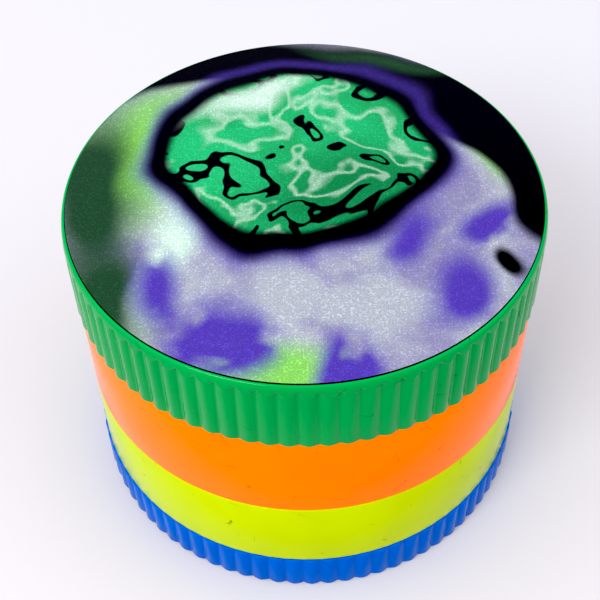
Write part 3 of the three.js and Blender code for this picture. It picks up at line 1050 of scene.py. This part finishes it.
class GRINDER_OT_lid(bpy.types.Operator):
    """Cast lid with a ribbed skirt, a rolled rim, teeth and a magnet boss"""

    bl_idname = "grinder.lid"
    bl_label = "Lid"

    def execute(self, context):
        sizes = context.scene.grinder_sizes
        skirt_bottom = LID_TOP - sizes.lid_height + sizes.seam_line
        band = LID_TOP - sizes.rim_band
        rim_top = LID_TOP - sizes.disc_rise
        recess_radius = OUTER_RADIUS - sizes.rim_lip
        boss_radius = POCKET_RADIUS + sizes.magnet_wall
        edge = sizes.seam_edge
        rolled_rim = [  # the corners that its rounding is drawn over, from the top down
            (OUTER_RADIUS - 0.35 * MM, rim_top, 0.21 * MM),
            (OUTER_RADIUS - 0.12 * MM, rim_top - 0.55 * MM, 0.25 * MM),
            (OUTER_RADIUS, LID_TOP - 1.9 * MM, 0.5 * MM),
        ]
        bm = wire_section(
            [
                (0, RECESS_FLOOR, 0),
                (recess_radius, RECESS_FLOOR, 0),
                (recess_radius, rim_top, RECESS_LIP),
                *rolled_rim,
                (OUTER_RADIUS, skirt_bottom, edge),
                (SOCKET_RADIUS, skirt_bottom, edge),
                (SOCKET_RADIUS, LID_UNDERSIDE, SOCKET_CORNER),
                (boss_radius, LID_UNDERSIDE, POST_FOOT),
                (boss_radius, BOSS_BOTTOM, POST_HEAD),
                (POCKET_RADIUS, BOSS_BOTTOM, POCKET_MOUTH),
                (POCKET_RADIUS, BOSS_POCKET, 0),
                (0, BOSS_POCKET, 0),
            ],
            closed=False,
        )
        add_rows(bm, OUTER_RADIUS, band - 2 * sizes.scallop, LID_TOP, RIM_ROW)
        turn(bm, sizes.rib_count * RIB_STEPS)
        press_ribs(bm, sizes, top=band)
        lid_rings = tooth_rings(sizes)[1]
        bm = joined(bm, teeth(sizes, lid_rings, LID_UNDERSIDE + REST_GAP, LID_TOOTH_TIP), "UNION")
        green = context.scene.grinder_colours.green
        paint = enamel("green_stoved_enamel", green, 0.07, index=1.22)
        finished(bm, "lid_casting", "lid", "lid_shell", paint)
        return {"FINISHED"}


class GRINDER_OT_lid_disc(bpy.types.Operator):
    """Thin printed disc let into the lid"""

    bl_idname = "grinder.lid_disc"
    bl_label = "Printed disc"

    def execute(self, context):
        sizes = context.scene.grinder_sizes
        play = 0.05 * MM
        under_edge = 0.05 * MM
        upper_edge = 0.07 * MM
        radius = OUTER_RADIUS - sizes.rim_lip - play
        low = RECESS_FLOOR + REST_GAP
        bm = turn(
            wire_section(
                [
                    (0, low, 0),
                    (radius, low, under_edge),
                    (radius, LID_TOP, upper_edge),
                    (0, LID_TOP, 0),
                ],
                closed=False,
            ),
            DISC_STEPS,
        )
        film = printed_film(context.scene.grinder_colours, radius)
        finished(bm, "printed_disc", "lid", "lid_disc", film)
        return {"FINISHED"}


BLACK_LEVEL = 0.034
FLOOR_SIZE = 20.0  # past the horizon of a view from low down

# Name, direction, distance, size and watts
LIGHTS = (
    ("window", (-0.80, -0.25, 0.55), 1.0, (1.2, 1.2), 6.5),
    ("bounce", (0.80, -0.25, 0.50), 1.0, (1.2, 1.2), 4.8),
    ("softbox", (-0.42, -0.58, 0.70), 0.7, (0.30, 0.24), 3.9),
)

LENS = 72.0
CAMERA_PLACE = (0, -0.11154, 0.15586)
CAMERA_HEADING = 0.445  # degrees, as are the next two
CAMERA_DIP = 49.445
CAMERA_ROLL = -1.568


class GRINDER_OT_stage(bpy.types.Operator):
    """Pale floor, soft studio light and the camera"""

    bl_idname = "grinder.stage"
    bl_label = "Stage"

    def execute(self, context):
        scene = context.scene
        colours = scene.grinder_colours
        # Plain colours, with the blacks brought down so that the room doesn't grey the enamels
        scene.view_settings.view_transform = "Standard"
        scene.view_settings.use_curve_mapping = True
        scene.view_settings.curve_mapping.black_level = (BLACK_LEVEL,) * 3

        bm = bmesh.new()
        bmesh.ops.create_grid(bm, x_segments=1, y_segments=1, size=FLOOR_SIZE)
        floor = as_object(bm, "floor")
        floor.data.materials.append(matt_card(colours.floor))

        # A room that is dim below the horizon and bright overhead
        world = bpy.data.worlds.new("pale_room")
        scene.world = world
        world.use_nodes = True
        tree = world.node_tree
        toward = add_node(tree, {}, kind="ShaderNodeTexCoord", output="Generated")
        height = add_node(tree, {0: toward}, kind="ShaderNodeSeparateXYZ", output="Z")
        dome = add_node(
            tree, {VALUE: height, LOW: -0.1, HIGH: 0.9, AT_LOW: 0.65, AT_HIGH: 2.15}, **FADE
        )
        fill(
            tree,
            tree.nodes["Background"],
            {"Color": tuple(colours.surroundings), "Strength": dome},
        )

        for name, towards, distance, size, watts in LIGHTS:
            light = bpy.data.lights.new(name, "AREA")
            light.shape = "RECTANGLE"
            light.size, light.size_y = size
            light.energy = watts
            lamp = bpy.data.objects.new(name, light)
            scene.collection.objects.link(lamp)
            place = Vector(towards).normalized() * distance
            lamp.location = place
            lamp.rotation_euler = place.to_track_quat("Z", "Y").to_euler()

        camera_data = bpy.data.cameras.new("camera")
        camera_data.lens = LENS
        camera = bpy.data.objects.new("camera", camera_data)
        scene.collection.objects.link(camera)
        camera.matrix_world = (
            Matrix.Translation(CAMERA_PLACE)
            @ Matrix.Rotation(math.radians(CAMERA_HEADING), 4, "Z")
            @ Matrix.Rotation(math.radians(90 - CAMERA_DIP), 4, "X")
            @ Matrix.Rotation(math.radians(CAMERA_ROLL), 4, "Z")
        )
        scene.camera = camera
        return {"FINISHED"}


class VIEW3D_PT_grinder(bpy.types.Panel):
    """Pieces, sizes and colours of the grinder"""

    bl_label = "Grinder"
    bl_idname = "VIEW3D_PT_grinder"
    bl_space_type = "VIEW_3D"
    bl_region_type = "UI"
    bl_category = "Grinder"

    def draw(self, context):
        for operator in PIECES:
            self.layout.operator(operator.bl_idname)
        for group in (context.scene.grinder_sizes, context.scene.grinder_colours):
            column = self.layout.column(align=True)
            for name in group.__annotations__:
                column.prop(group, name)


PIECES = (
    GRINDER_OT_stage,
    GRINDER_OT_tray,
    GRINDER_OT_sieve_chamber,
    GRINDER_OT_screen,
    GRINDER_OT_grinding_chamber,
    GRINDER_OT_magnets,
    GRINDER_OT_friction_ring,
    GRINDER_OT_lid,
    GRINDER_OT_lid_disc,
)
CLASSES = (GrinderSizes, GrinderColours, *PIECES, VIEW3D_PT_grinder)


def register():
    for cls in CLASSES:
        bpy.utils.register_class(cls)
    bpy.types.Scene.grinder_sizes = PointerProperty(type=GrinderSizes)
    bpy.types.Scene.grinder_colours = PointerProperty(type=GrinderColours)


def unregister():
    del bpy.types.Scene.grinder_colours
    del bpy.types.Scene.grinder_sizes
    for cls in reversed(CLASSES):
        bpy.utils.unregister_class(cls)


def main():
    register()
    for operator in PIECES:
        category, name = operator.bl_idname.split(".")
        getattr(getattr(bpy.ops, category), name)()


if __name__ == "__main__":
    main()
